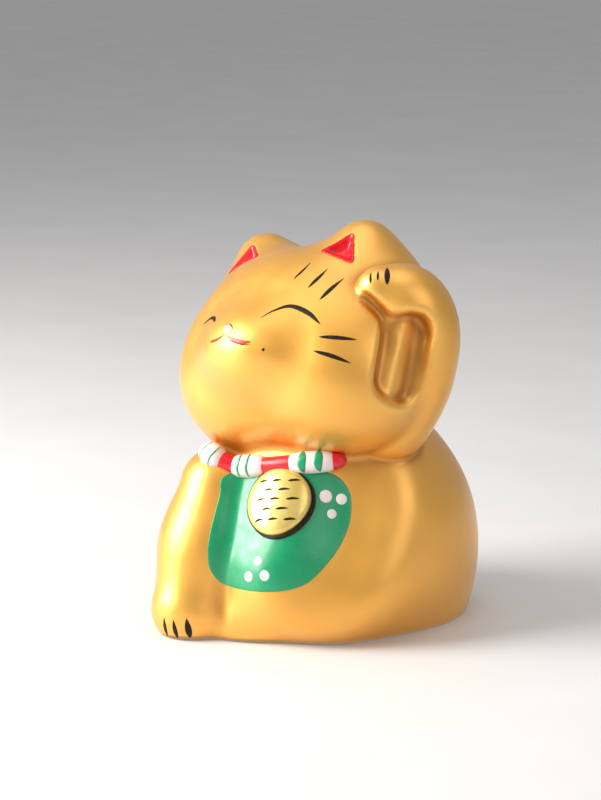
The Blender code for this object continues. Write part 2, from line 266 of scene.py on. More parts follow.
def skull(near, shrink=0.0):
    """Cranium and cheeks, in the head's own frame."""
    distance = ellipsoid(near, CRANIUM[0], CRANIUM[1] - shrink)
    for side in (-1, 1):
        cheek = ellipsoid(near, CHEEK[0] * vec(side, 1, 1), CHEEK[1] - shrink)
        distance = join(distance, cheek, CHEEK_BLEND)
    return distance


def head(points):
    """Skull, muzzle and both ears."""
    near = to_head(points)
    distance = join(skull(near), ellipsoid(near, *MUZZLE), MUZZLE_BLEND)
    for side in (-1, 1):
        distance = join(distance, rope(near * vec(side, 1, 1), EAR), EAR_BLEND)
    return distance


def body(points, shrink=0.0):
    """Trunk, haunches and chest."""
    distance = ellipsoid(points, TRUNK[0], TRUNK[1] - shrink)
    for side in (-1, 1):
        haunch = ellipsoid(points, HAUNCH[0] * vec(side, 1, 1), HAUNCH[1] - shrink)
        distance = join(distance, haunch, TRUNK_BLEND)
    return join(distance, ellipsoid(points, CHEST[0], CHEST[1] - shrink), TRUNK_BLEND)


def ear_pocket(near, corners, grow=0.0):
    """A three-sided hollow in the head's frame, its walls sloping in to a floor below the corners."""
    corners = [vec(*corner) for corner in corners]
    middle = sum(corners) / 3
    outward = np.cross(corners[1] - corners[0], corners[2] - corners[0])
    outward /= np.linalg.norm(outward) * (-1 if outward[1] > 0 else 1)
    height = (near - middle) @ outward
    distance = -height - POCKET_DEPTH
    for first, second in zip(corners, corners[1:] + corners[:1]):
        side = np.cross(second - first, outward)
        side /= np.linalg.norm(side) * (-1 if (middle - first) @ side > 0 else 1)
        wall = side - POCKET_SLOPE * outward
        wall /= np.linalg.norm(wall)
        distance = overlap(distance, (near - first) @ wall, POCKET_CORNER)
    return overlap(distance - grow, height - POCKET_REACH, POCKET_BLEND)


def recess(points):
    """The hollow between cheek and raised arm; its floor falls away from the cheek to the arm."""
    near = points @ RECESS_FRAME
    outline = capsule(near, RECESS_TOP, RECESS_BOTTOM, RECESS_RADIUS, RECESS_RADIUS)
    down = (RECESS_TOP[1] - near[..., 1]) / (RECESS_TOP[1] - RECESS_BOTTOM[1])
    share = (near[..., 0] - RECESS_TOP[0] + (RECESS_TOP[0] - RECESS_BOTTOM[0]) * down) / RECESS_RADIUS
    down = np.clip(down, -0.5, 1.5)
    sharpness, middle = RECESS_STEP
    fall = 1 / (1 + np.exp(-sharpness * (share - middle)))
    floor_height = RECESS_FLOOR + RECESS_RISE * down - (RECESS_FALL[0] + RECESS_FALL[1] * down) * fall
    height = points @ RECESS_OUT - floor_height
    lean = RECESS_LEAN * np.clip(share + 0.3, 0, 1)
    return overlap(outline - lean * np.clip(height, 0, 3), -height, RECESS_BLEND)


def outer_skin(points):
    """The glazed outside, before anything is opened from below."""
    distance = join(body(points), ellipsoid(points, *TOE_WEB), TRUNK_BLEND)
    distance = carve(distance, rope(points, HAUNCH_CREASE), HAUNCH_BLEND)
    distance = join(distance, capsule(points, *TAIL), TAIL_BLEND)
    distance = join(distance, chain(points, LEG, TRUNK_BLEND), LEG_BLEND)
    distance = join(distance, head(points), HEAD_BLEND)
    distance = join(distance, rope(points, ARM), ARM_BLEND)
    distance = carve(distance, recess(points), RECESS_BLEND)
    distance = carve(distance, rope(points, CHEEK_GROOVE), GROOVE_BLEND)
    near = to_head(points)
    for corners in POCKETS.values():
        distance = carve(distance, ear_pocket(near, corners), POCKET_BLEND)
    return distance


def clay(points):
    """The whole casting: outside, flat foot, hollow inside and the openings underneath."""
    skin = outer_skin(points)
    hollow = overlap(body(points, BODY_WALL), BASE_FLOOR - points[..., 2], HOLLOW_BLEND)
    hollow = join(hollow, skull(to_head(points), HEAD_WALL), HOLLOW_BLEND)
    hollow = join(hollow, capsule(points, *NECK), HOLLOW_BLEND)
    hollow = overlap(hollow, skin + THIN_WALL, WALL_BLEND)
    distance = carve(overlap(skin, -points[..., 2], FOOT_ROUNDING), hollow, HOLLOW_ROUNDING)
    from_pour = np.linalg.norm(points[..., :2] - vec(*POUR_CENTRE), axis=-1)
    for radius, height in UNDERSIDE:
        opening = np.maximum(from_pour - radius, points[..., 2] - height)
        distance = carve(distance, opening, OPENING_ROUNDING)
    return distance


# ---------------- meshes

def to_world(points):
    return AXIS + np.asarray(points) * UNIT


CULL_MARGIN = 1.6  # in block widths; more than a block's half diagonal
BATCH = 20000


def grid_values(field, low, high, cell, block=8):
    """A field on a regular grid, worked out in full only in the blocks that its surface may cross."""
    blocks = np.ceil(((vec(*high) - vec(*low)) / cell + 1) / block).astype(int)
    where = np.stack(np.meshgrid(*[np.arange(count) for count in blocks], indexing="ij"), axis=-1)
    rough = field((vec(*low) + cell * (block * (where + 0.5) - 0.5)).reshape(-1, 3)).reshape(blocks)
    near = np.abs(rough) < CULL_MARGIN * cell * block
    value, live = rough, near
    for axis in range(3):
        value = np.repeat(value, block, axis=axis)
        live = np.repeat(live, block, axis=axis)
    spots = np.argwhere(live)
    for part in np.array_split(spots, max(1, len(spots) // BATCH)):
        value[tuple(part.T)] = field(vec(*low) + cell * part)
    return value


def surface_net(field, low, high, cell):
    """Vertices and quads of a field's zero surface on a regular grid, one vertex per crossed cell."""
    value = grid_values(field, low, high, cell)
    counts = np.array(value.shape)
    inside = value < 0
    total = np.zeros((*(counts - 1), 3))
    hits = np.zeros(counts - 1)
    crossings = []
    for axis in range(3):
        before = np.moveaxis(value, axis, 0)[:-1]
        after = np.moveaxis(value, axis, 0)[1:]
        flips = np.moveaxis(inside, axis, 0)
        where = np.argwhere(flips[:-1] != flips[1:])
        part = before[tuple(where.T)] / (before[tuple(where.T)] - after[tuple(where.T)])
        downward = flips[:-1][tuple(where.T)]
        edge = where.astype(float)
        edge[:, 0] += part
        # put the axes back in x, y, z order
        order = [axis] + [other for other in range(3) if other != axis]
        home = np.argsort(order)
        where, edge = where[:, home], edge[:, home]
        one, two = [other for other in range(3) if other != axis]
        around = []
        for shift_one, shift_two in ((-1, -1), (0, -1), (0, 0), (-1, 0)):
            cell_index = where.copy()
            cell_index[:, one] += shift_one
            cell_index[:, two] += shift_two
            fits = np.all((cell_index >= 0) & (cell_index < counts - 1), axis=1)
            np.add.at(total, tuple(cell_index[fits].T), edge[fits])
            np.add.at(hits, tuple(cell_index[fits].T), 1)
            around.append(cell_index)
        # one, two, axis is right-handed for x and z, left-handed for y
        crossings.append((np.stack(around, axis=1), downward ^ (axis == 1)))
    live = hits > 0
    index = np.full(hits.shape, -1)
    index[live] = np.arange(live.sum())
    verts = vec(*low) + cell * total[live] / hits[live][:, None]
    quads = []
    for around, keep_order in crossings:
        fits = np.all((around >= 0) & (around < counts - 1), axis=(1, 2))
        corners = index[tuple(np.moveaxis(around[fits], 2, 0))]
        flip = ~keep_order[fits]
        corners[flip] = corners[flip][:, ::-1]
        quads.append(corners)
    return verts, np.concatenate(quads)


def gradient(field, points, here, step=0.02):
    """Slope of a field by forward differences, from its values at the points."""
    slope = np.empty_like(points)
    for axis in range(3):
        nudge = np.zeros(3)
        nudge[axis] = step
        slope[:, axis] = (field(points + nudge) - here) / step
    return slope


FLATTEST = 0.04  # least squared slope that a step is divided by
CLOSE = 0.01  # distance at which a sliding point has landed
SLIDE_STEPS = 60
SLIDE_SHARE = 0.9  # of the distance, taken in each step


def settle(points, field=outer_skin, rounds=5):
    """Move points onto a field's surface and give the outward normals there."""
    points = np.atleast_2d(np.array(points, float))
    for _ in range(rounds):
        here = field(points)
        slope = gradient(field, points, here)
        size = np.maximum((slope ** 2).sum(axis=1, keepdims=True), FLATTEST)
        points = points - slope * here[:, None] / size
    slope = gradient(field, points, field(points))
    return points, slope / np.maximum(np.linalg.norm(slope, axis=1, keepdims=True), 1e-9)


def drop(points, direction, field=outer_skin):
    """Slide points along a direction until they meet a field's surface."""
    points = np.array(points, float)
    moving = np.arange(len(points))
    for _ in range(SLIDE_STEPS):
        step = field(points[moving])
        points[moving] += step[:, None] * direction * SLIDE_SHARE
        moving = moving[np.abs(step) > CLOSE]
        if not len(moving):
            break
    return settle(points, field, rounds=1)


def piece(name, verts, faces, material, body_name=GOLD_BODY):
    """A smooth-shaded object from vertices in millimetres, riding on a CAD body."""
    mesh = bpy.data.meshes.new(name)
    mesh.from_pydata(to_world(verts).tolist(), [], [list(map(int, face)) for face in faces])
    mesh.validate()
    mesh.shade_smooth()
    made = bpy.data.objects.new(name, mesh)
    bpy.context.scene.collection.objects.link(made)
    made.data.materials.append(material)
    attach(made, body_name)
    return made


def joined(parts):
    """One list of vertices and faces from several closed shapes."""
    verts, faces, count = [], [], 0
    for part_verts, part_faces in parts:
        verts.append(part_verts)
        faces.extend([[corner + count for corner in face] for face in part_faces])
        count += len(part_verts)
    return np.concatenate(verts), faces


def tube_faces(rows, columns, closed_rows=False):
    """Quads of a tube of rows, each a closed loop, with a fan at both ends unless the rows close up."""
    faces = []
    for row in range(rows if closed_rows else rows - 1):
        after = (row + 1) % rows
        for column in range(columns):
            beside = (column + 1) % columns
            faces.append([row * columns + column, row * columns + beside,
                          after * columns + beside, after * columns + column])
    if not closed_rows:
        faces.append(list(range(columns))[::-1])
        faces.append([(rows - 1) * columns + column for column in range(columns)])
    return faces


SINK = 0.015  # how far a stroke's edge lies under the surface
ROOT = 0.15  # and its back, as a pad's
RIM_SINK = 0.02  # how far a pad's rim lies under it
HAIRLINE = 0.02  # least width of a stroke
ROUND_END = 3.0  # samples over which a stroke's end is rounded


def stroke(points, width, height=0.07, place=settle, samples=40):
    """A brush stroke: a low ribbon laid on a surface; width is a function of the place 0..1 along it."""
    path, normal = place(smooth_path(points, samples))
    ahead = np.gradient(path, axis=0)
    side = np.cross(normal, ahead)
    side /= np.linalg.norm(side, axis=1, keepdims=True)
    at = np.linspace(0, 1, samples)
    wide = np.array([width(t) for t in at])
    for end in (at, 1 - at):
        share = np.clip(end / (ROUND_END / samples), 0, 1)
        wide = wide * np.sqrt(1 - (1 - share) ** 2)
    wide = wide + HAIRLINE
    across = np.linspace(-1, 1, 9)
    crown = [(u, height * (1 - u ** 4) - SINK) for u in across]
    ring = crown + [(u, -ROOT) for u in across[::-1]]
    offset = np.array([u for u, _ in ring])
    lift = np.array([rise for _, rise in ring])
    spread = path[:, None] + side[:, None] * (wide[:, None] * offset / 2)[..., None]
    placed, up = place(spread.reshape(-1, 3))
    verts = placed + up * np.tile(lift, samples)[:, None]
    return verts, tube_faces(samples, len(ring))


def blob(centre, u_axis, v_axis, outline, lift, place=settle, rings=10, spokes=48, depth=ROOT):
    """A closed pad on a surface: outline(angle) is its reach, lift(r) its height from middle to rim."""
    centre, u_axis, v_axis = vec(*centre), vec(*u_axis), vec(*v_axis)
    angles = np.linspace(0, 2 * math.pi, spokes, endpoint=False)
    reach = np.array([outline(angle) for angle in angles])
    radii = np.sin(np.linspace(0, math.pi / 2, rings + 1)[1:])
    flat = [centre]
    for radius in radii:
        flat.extend(centre + radius * r * (math.cos(a) * u_axis + math.sin(a) * v_axis)
                    for a, r in zip(angles, reach))
    placed, normal = place(np.array(flat))
    heights = np.concatenate([[lift(0.0)], np.repeat([lift(radius) for radius in radii], spokes)])
    top = placed + normal * heights[:, None]
    inner = 1 + (rings - 1) * spokes
    bottom = placed[:inner] - normal[:inner] * depth
    verts = np.concatenate([top, bottom])
    start = len(top)

    def top_index(ring, spoke):
        return 1 + ring * spokes + spoke % spokes

    def bottom_index(ring, spoke):
        return top_index(ring, spoke) if ring == rings - 1 else start + top_index(ring, spoke)

    faces = []
    for spoke in range(spokes):
        faces.append([0, top_index(0, spoke), top_index(0, spoke + 1)])
        faces.append([start, bottom_index(0, spoke + 1), bottom_index(0, spoke)])
        for ring in range(rings - 1):
            faces.append([top_index(ring, spoke), top_index(ring + 1, spoke),
                          top_index(ring + 1, spoke + 1), top_index(ring, spoke + 1)])
            faces.append([bottom_index(ring, spoke + 1), bottom_index(ring + 1, spoke + 1),
                          bottom_index(ring + 1, spoke), bottom_index(ring, spoke)])
    return verts, faces


# ---------------- materials

def new_material(name, colour, roughness, metallic=0.0):
    material = bpy.data.materials.new(name)
    material.use_nodes = True
    shader = material.node_tree.nodes["Principled BSDF"]
    set_inputs(shader, Base_Color=(*colour, 1.0), Roughness=roughness, Metallic=metallic)
    return material, material.node_tree, shader


def set_inputs(made, **values):
    """Set a node's inputs by name, with underscores for spaces."""
    for key, value in values.items():
        made.inputs[key.replace("_", " ")].default_value = value


def node(tree, kind, **settings):
    """A new node; settings with a capital go to its inputs, the others to its properties."""
    made = tree.nodes.new(kind)
    for key, value in settings.items():
        if key[0].isupper():
            set_inputs(made, **{key: value})
        else:
            setattr(made, key, value)
    return made


def noise(tree, scale, detail=3.0, roughness=0.5):
    """Noise over the object's own space; scale is in features per metre."""
    where = node(tree, "ShaderNodeTexCoord")
    made = node(tree, "ShaderNodeTexNoise", Scale=scale, Detail=detail, Roughness=roughness)
    tree.links.new(where.outputs["Object"], made.inputs["Vector"])
    return made.outputs["Fac"]


def remap(tree, value, low, high, to_low, to_high):
    made = node(tree, "ShaderNodeMapRange", From_Min=low, From_Max=high, To_Min=to_low, To_Max=to_high)
    tree.links.new(value, made.inputs["Value"])
    return made.outputs["Result"]


def mixed(tree, factor, first, second):
    """Blend of two colours, each a colour or an output socket."""
    made = node(tree, "ShaderNodeMix", data_type="RGBA")
    tree.links.new(factor, made.inputs["Factor"])
    for socket, colour in ((6, first), (7, second)):
        if isinstance(colour, tuple):
            made.inputs[socket].default_value = (*colour, 1.0)
        else:
            tree.links.new(colour, made.inputs[socket])
    return made.outputs[2]


def drifting(tree, pattern, low, high, first, second):
    """Two colours that drift into each other between two values of a pattern."""
    return mixed(tree, remap(tree, pattern, low, high, 0.0, 1.0), first, second)


def bump(tree, shader, layers):
    """Stack bumps onto a shader; each layer is (height, depth in metres)."""
    normal = None
    for height, depth in layers:
        made = node(tree, "ShaderNodeBump", Strength=1.0, Distance=depth)
        tree.links.new(height, made.inputs["Height"])
        if normal is not None:
            tree.links.new(normal, made.inputs["Normal"])
        normal = made.outputs["Normal"]
    tree.links.new(normal, shader.inputs["Normal"])


def gold_lacquer():
    """Satin gold paint under a thin soft varnish, darkened in its creases by painted shade and lightened on
    its ridges by a painted highlight; bare white earthenware on the foot ring and inside.
    """
    material, tree, shader = new_material("gold_lacquer", (0.89, 0.455, 0.072), 0.42, 0.66)
    crease_shade, ridge_highlight, bare = (node(tree, "ShaderNodeAttribute", attribute_name=name).outputs["Fac"]
                           for name in ("crease_shade", "ridge_highlight", "bare"))
    gold = drifting(tree, noise(tree, 55.0, 3.0), 0.35, 0.65, (0.89, 0.455, 0.072), (0.85, 0.415, 0.056))
    # painted shade: creases turn a dark brown-orange, with a little paint gathered there as well
    gold = mixed(tree, crease_shade, gold, (0.50, 0.180, 0.006))
    # painted highlight: ridges turn a lighter gold
    gold = mixed(tree, ridge_highlight, gold, (0.95, 0.56, 0.13))
    grog = drifting(tree, noise(tree, 900.0, 4.0), 0.42, 0.6, (0.74, 0.69, 0.61), (0.62, 0.55, 0.46))
    tree.links.new(mixed(tree, bare, gold, grog), shader.inputs["Base Color"])
    smooth = remap(tree, noise(tree, 240.0, 4.0), 0.3, 0.7, 0.38, 0.46)
    rough = node(tree, "ShaderNodeMix", B=0.9)
    tree.links.new(bare, rough.inputs["Factor"])
    tree.links.new(smooth, rough.inputs["A"])
    tree.links.new(rough.outputs["Result"], shader.inputs["Roughness"])
    tree.links.new(remap(tree, bare, 0.0, 1.0, 0.66, 0.0), shader.inputs["Metallic"])
    tree.links.new(remap(tree, bare, 0.0, 1.0, 0.8, 0.0), shader.inputs["Coat Weight"])
    set_inputs(shader, Coat_Roughness=0.34)
    bump(tree, shader, [(noise(tree, 130.0, 2.0), 0.00008), (noise(tree, 5200.0, 1.0), 0.000004),
                        (noise(tree, 700.0, 3.0), 0.000010)])
    return material


def enamel(name, colour, deep, roughness=0.3):
    """Brushed-on gloss enamel: a little pooling in colour, orange peel, and a clear coat."""
    material, tree, shader = new_material(name, colour, roughness)
    pooled = drifting(tree, noise(tree, 200.0, 2.0), 0.3, 0.7, colour, deep)
    tree.links.new(pooled, shader.inputs["Base Color"])
    tree.links.new(remap(tree, noise(tree, 600.0, 3.0), 0.3, 0.7, roughness * 0.8, roughness * 1.4),
                   shader.inputs["Roughness"])
    set_inputs(shader, Specular_IOR_Level=0.6, Coat_Weight=0.12, Coat_Roughness=0.15)
    bump(tree, shader, [(noise(tree, 150.0, 1.0), 0.00004), (noise(tree, 1500.0, 2.0), 0.000005)])
    return material


def coin_gold():
    """Pale gold enamel with a broad brushed grain."""
    material, tree, shader = new_material("pale_gold_enamel", (0.80, 0.60, 0.16), 0.26, 0.45)
    gold = drifting(tree, noise(tree, 320.0, 3.0), 0.35, 0.65, (0.84, 0.66, 0.20), (0.74, 0.53, 0.12))
    tree.links.new(gold, shader.inputs["Base Color"])
    tree.links.new(remap(tree, noise(tree, 900.0, 3.0), 0.3, 0.7, 0.26, 0.34), shader.inputs["Roughness"])
    set_inputs(shader, Coat_Weight=0.35, Coat_Roughness=0.08)
    bump(tree, shader, [(noise(tree, 240.0, 2.0), 0.00006)])
    return material


def brush_paint(name, colour, thin):
    """Brushed line paint: darker where it is thick, with fine bristle streaks."""
    material, tree, shader = new_material(name, colour, 0.55)
    streaked = drifting(tree, noise(tree, 2400.0, 4.0, 0.6), 0.46, 0.72, colour, thin)
    tree.links.new(streaked, shader.inputs["Base Color"])
    tree.links.new(remap(tree, noise(tree, 1800.0, 3.0), 0.3, 0.7, 0.42, 0.62), shader.inputs["Roughness"])
    set_inputs(shader, Specular_IOR_Level=0.2)
    bump(tree, shader, [(noise(tree, 2600.0, 2.0), 0.00001)])
    return material


def soft_plastic():
    """Moulded soft PVC: faint mottling, a fine matt grain and scuffs."""
    material, tree, shader = new_material("grey_soft_plastic", (0.36, 0.36, 0.34), 0.55)
    grey = drifting(tree, noise(tree, 220.0, 4.0), 0.35, 0.65, (0.40, 0.40, 0.38), (0.30, 0.30, 0.285))
    tree.links.new(grey, shader.inputs["Base Color"])
    scuff = remap(tree, noise(tree, 1100.0, 5.0, 0.7), 0.5, 0.75, 0.5, 0.75)
    tree.links.new(scuff, shader.inputs["Roughness"])
    set_inputs(shader, Subsurface_Weight=0.1, Subsurface_Radius=(0.001, 0.001, 0.001))
    bump(tree, shader, [(noise(tree, 3200.0, 2.0), 0.000012)])
    return material


# ---------------- the cat's pieces

def add_weight(target, name, values):
    attribute = target.data.attributes.new(name, "FLOAT", "POINT")
    attribute.data.foreach_set("value", np.asarray(values, np.float32))


SKIN_BOX = ((-27.5, -33.5, -1.0), (30.5, 28.5, 77.0))
BEND_REACH = 1.6  # over which the skin's bend is measured
# gains of the painted shade in creases and the painted highlight on ridges
CREASE_SHADE_GAIN, RIDGE_HIGHLIGHT_GAIN, RIDGE_HIGHLIGHT_START = 1.6, 1.2, 0.25  # how strongly, and from which bend, it marks
ON_SKIN = 0.3  # nearer than this to the outside counts as outside
GLAZE_START, GLAZE_EDGE = 0.45, 0.25  # height where the lacquer is full, and the height it fades over


def glazed_skin(material):
    """The fired casting, with painted shade in its creases, a painted highlight on its ridges and bare clay
    marked for its material.
    """
    verts, quads = surface_net(clay, *SKIN_BOX, SKIN_CELL)
    verts, normals = settle(verts, clay, rounds=2)
    skin = piece("glazed_skin", verts, quads, material)
    bend = -6 * outer_skin(verts)
    for axis in np.eye(3) * BEND_REACH:
        bend += outer_skin(verts + axis) + outer_skin(verts - axis)
    bend /= BEND_REACH * BEND_REACH
    outside = np.abs(outer_skin(verts)) < ON_SKIN
    # the skin's bend gives painted shade in creases and a painted highlight on ridges
    add_weight(skin, "crease_shade", np.clip(-bend * CREASE_SHADE_GAIN, 0, 1) * outside)
    add_weight(skin, "ridge_highlight", np.clip((bend - RIDGE_HIGHLIGHT_START) * RIDGE_HIGHLIGHT_GAIN, 0, 1) * outside)
    unglazed = np.clip((GLAZE_START - verts[:, 2]) / GLAZE_EDGE, 0, 1)
    add_weight(skin, "bare", np.where(outside, unglazed, 1.0))
    skin.data.normals_split_custom_set_from_vertices(normals.tolist())
    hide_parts("body_shell", "head_shell", "raised_arm", "planted_leg")


INWARD = vec(0, 1, 0)  # from in front of the cat to its back
FACE_INWARD = HEAD_TURN @ INWARD
BEFORE_FACE = -32.0
BEFORE_CHEST = -45.0


def on_face(*spots):
    """Points on the head from (x, z) in the head's own frame, found from in front."""
    start = from_head([(x, BEFORE_FACE, z) for x, z in spots])
    placed, _ = drop(start, FACE_INWARD)
    return placed


def on_chest(*spots):
    """Points on the chest from (x, z), found from in front."""
    start = np.array([(x, BEFORE_CHEST, z) for x, z in spots], float)
    placed, _ = drop(start, INWARD)
    return placed


def swell(peak, power=1.0):
    """Width that swells to peak near the middle of a stroke."""
    return lambda t: peak * math.sin(math.pi * min(max(t, 0.0), 1.0)) ** power


def leaning(peak, centre):
    """Width that swells towards one end of a stroke."""
    return lambda t: peak * math.sin(math.pi * t ** (math.log(0.5) / math.log(centre))) ** 0.7


def rounded(height, sharpness=6):
    """Lift of a pad: level across the middle, rolling over at the rim."""
    return lambda r: height * (1 - r ** sharpness) ** 0.5 - RIM_SINK


def domed(rim, crown):
    """Lift of a domed pad with a rounded rim."""
    return lambda r: (rim + crown * (1 - r * r)) * (1 - r ** 14) ** 0.5 - RIM_SINK


def eyes(paint):
    """Closed smiling eyes: one arc each, thicker on the outer half."""
    arcs = [[(5.8, 1.3), (7.4, 2.9), (9.8, 3.85), (13.2, 2.6), (15.8, 0.5)],
            [(-5.5, 1.5), (-6.9, 2.5), (-8.4, 2.9), (-9.8, 2.7), (-11.2, 2.2)]]
    parts = [stroke(on_face(*arc), leaning(width, peak), height=0.11, samples=60)
             for arc, width, peak in zip(arcs, (1.0, 0.8), (0.64, 0.3))]
    piece("eyes", *joined(parts), paint)


EDGE_WIDTH = 0.16


def mouth(red, paint):
    """Two red curves from under the nose, the left one broader, each with a fine dark edge."""
    curves, edges = [], []
    left = [(-0.3, -1.8), (0.8, -2.6), (2.5, -3.3), (3.8, -3.55), (5.2, -3.4)]
    right = [(-0.5, -1.8), (-1.5, -2.25), (-2.8, -2.7), (-4.6, -2.7)]
    for line, width in ((left, 0.85), (right, 0.5)):
        curves.append(stroke(on_face(*line), leaning(width, 0.62), height=0.1, samples=44))
        below = [(x, z - width * 0.5) for x, z in line]
        edges.append(stroke(on_face(*below), swell(EDGE_WIDTH, 0.5), samples=40))
    piece("mouth", *joined(curves), red)
    piece("mouth_edges", *joined(edges), paint)


FACE_ACROSS, FACE_UP = HEAD_TURN @ vec(1, 0, 0), HEAD_TURN @ vec(0, 0, 1)


def nose(pink, paint):
    """A small three-cornered pad, with a fine dark line over it and down its left side."""
    middle = on_face((-0.3, -0.8))[0]
    pad = blob(middle, FACE_ACROSS, FACE_UP, lambda a: 0.92 + 0.12 * math.cos(3 * (a - math.pi / 2)),
               rounded(0.12, 5), rings=8, spokes=40)
    piece("nose", *pad, pink)
    line = [(-1.0, 0.15), (0.1, 0.05), (0.95, -0.7), (0.9, -1.4), (0.3, -1.9)]
    piece("nose_edge", *stroke(on_face(*line), swell(0.22, 0.5), samples=36, height=0.06), paint)


def face_marks(paint):
    """Three brow dashes, two whiskers and a freckle, all on the cat's left."""
    brows = [((9.2, 13.2), (8.9, 11.3), (8.2, 9.5)), ((12.8, 12.0), (12.4, 9.9), (11.6, 7.6)),
             ((16.1, 10.2), (15.4, 7.8), (14.4, 5.2))]
    widths = (0.5, 0.75, 0.85)
    piece("brow_marks", *joined([stroke(on_face(*line), leaning(width, 0.6), height=0.09, samples=30)
                                 for line, width in zip(brows, widths)]), paint)
    whiskers = [[(15.9, -1.85), (18.5, -1.8), (21.4, -1.8)], [(15.2, -4.4), (18.2, -5.15), (20.9, -6.1)]]
    piece("whiskers", *joined([stroke(on_face(*line), leaning(0.8, 0.46), height=0.09, samples=30)
                               for line in whiskers]), paint)
    spot = on_face((7.2, -4.7))[0]
    freckle = blob(spot, FACE_ACROSS, FACE_UP, lambda a: 0.3, rounded(0.09, 2), spokes=20, rings=4)
    piece("freckle", *freckle, paint)


def claws(paint):
    """Leaf-shaped claw strokes: three on the raised paw, three on the planted foot."""
    paw = [((16.4, -14.3, 68.6), (17.0, -15.6, 67.0), 0.45),
           ((17.5, -13.7, 68.9), (18.1, -14.9, 67.5), 0.45),
           ((18.3, -11.9, 69.4), (19.7, -14.4, 66.8), 1.05)]
    foot = [((-16.6, -32.0, 4.4), (-16.7, -30.8, 0.6), 0.85),
            ((-14.6, -32.0, 4.3), (-14.5, -30.8, 0.5), 0.95),
            ((-12.2, -31.3, 4.8), (-12.2, -30.1, 0.7), 1.3)]
    for name, marks in (("paw_claws", paw), ("foot_claws", foot)):
        strokes = []
        for top, bottom, width in marks:
            middle = tuple((a + b) / 2 for a, b in zip(top, bottom))
            strokes.append(stroke([top, middle, bottom], leaning(width, 0.56), samples=30, height=0.1))
        piece(name, *joined(strokes), paint)


BIB_MIDDLE = (2.6, 20.8)
BIB_EDGE = [(-10.4, 29.6), (-10.4, 26.3), (-10.2, 22.5), (-9.9, 16.0), (-9.1, 12.7), (-7.2, 10.6),
            (-2.0, 10.6), (3.2, 11.1), (6.8, 11.7), (9.6, 13.3), (12.1, 17.4), (13.1, 22.1), (12.6, 26.2),
            (11.5, 28.6), (9.2, 30.8), (5.0, 32.2), (0.0, 32.0), (-5.0, 31.0)]


def outline_reach(middle, edge):
    """Reach of a closed smooth outline from its middle, as a function of the angle."""
    loop = [vec(x - middle[0], z - middle[1], 0) for x, z in edge]
    fine = smooth_path(loop[-2:] + loop + loop[:3], 600)
    angle = np.arctan2(fine[:, 1], fine[:, 0])
    reach = np.hypot(fine[:, 0], fine[:, 1])
    order = np.argsort(angle)
    return lambda a: float(np.interp(math.atan2(math.sin(a), math.cos(a)), angle[order], reach[order],
                                     period=2 * math.pi))


def chest_drop(points):
    return drop(points, INWARD)


BIB_LIFT = rounded(0.17, 30)
BIB_DOTS = [(8.7, 27.3, 2.4), (11.0, 26.7, 2.05), (10.2, 24.3, 1.8),  # x, z and diameter
            (0.3, 16.3, 1.7), (2.1, 14.0, 1.95), (-1.3, 13.3, 1.9)]
DOT_RIM, DOT_CROWN = 0.14, 0.14  # height at a dot's rim, and how much more in its middle


def bib(green, white):
    """Green bib that follows the chest, with two groups of raised white dots."""
    middle = (BIB_MIDDLE[0], BEFORE_CHEST, BIB_MIDDLE[1])
    pad = blob(middle, (1, 0, 0), (0, 0, 1), outline_reach(BIB_MIDDLE, BIB_EDGE), BIB_LIFT,
               place=chest_drop, rings=44, spokes=180, depth=0.3)
    made = piece("bib_enamel", *pad, green)
    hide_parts("bib")
    dots = []
    for x, z, size in BIB_DOTS:
        spot = on_chest((x, z))[0]
        _, normal = settle([spot])
        across = np.cross(normal[0], (0, 0, 1))
        across /= np.linalg.norm(across)
        dots.append(blob(spot, across, np.cross(across, normal[0]), lambda a: size / 2,
                         lambda r: DOT_RIM + DOT_CROWN * (1 - r ** 3), rings=5, spokes=32, depth=0.1))
    piece("bib_dots", *joined(dots), white)


COIN_MIDDLE = (1.0, 26.3)
COIN_LEAN = math.radians(9.0)
COIN_HALF_WIDTH = 5.95
COIN_ABOVE, COIN_BELOW = 5.7, 5.6
COIN_EGG = 0.07  # how much narrower the top is
COIN_LIFT = domed(0.95, 0.75)
# the outline's broad part below the coin, on the cat's left, is partly a painted shadow of the raised coin
OUTLINE_THIN, OUTLINE_SHADOW_SWELL, OUTLINE_SHADOW_TURN = 0.22, 0.85, 0.55  # width, what is added, and how far down
OUTLINE_UNDER = 0.08  # how far the line reaches under the coin
OUTLINE_HEIGHT = 0.45
DASH_ACROSS, DASH_DOWN = 1.25, 1.6  # steps between dashes and between their rows
DASH_TOP = 2.6
DASH_SHIFT = 0.2
DASH_HALF = 0.85
DASH_WIDTH = 0.5


def coin_reach(angle, grow=0.0):
    """Egg outline, broader below the middle, leaning to the cat's left."""
    turned = angle + COIN_LEAN
    wide = COIN_HALF_WIDTH + grow
    tall = (COIN_ABOVE if math.sin(turned) > 0 else COIN_BELOW) + grow
    egg = 1 - COIN_EGG * math.sin(turned)
    return 1 / math.hypot(math.cos(turned) / (wide * egg), math.sin(turned) / tall)


def coin(pale_gold, paint):
    """Domed oval coin on the bib, outlined in paint with a painted shadow below it on the cat's left, and
    marked with plain staggered dashes.
    """
    middle = (COIN_MIDDLE[0], BEFORE_CHEST, COIN_MIDDLE[1])
    pad = blob(middle, (1, 0, 0), (0, 0, 1), coin_reach, COIN_LIFT, place=chest_drop,
               rings=40, spokes=120, depth=0.1)
    made = piece("coin_enamel", *pad, pale_gold)
    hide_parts("koban_coin")
    coin_outline_and_shadow(paint)
    piece("coin_dashes", *joined(coin_dashes()), paint)


def coin_surface(points):
    """Place points on the coin's face, found from in front."""
    points = np.array(points, float)
    points[:, 1] = BEFORE_CHEST
    base, normal = drop(points, INWARD)
    dx, dz = points[:, 0] - COIN_MIDDLE[0], points[:, 2] - COIN_MIDDLE[1]
    share = np.array([math.hypot(x, z) / coin_reach(math.atan2(z, x)) for x, z in zip(dx, dz)])
    lift = np.array([COIN_LIFT(min(r, 0.99)) for r in share])
    return base + normal * lift[:, None], normal


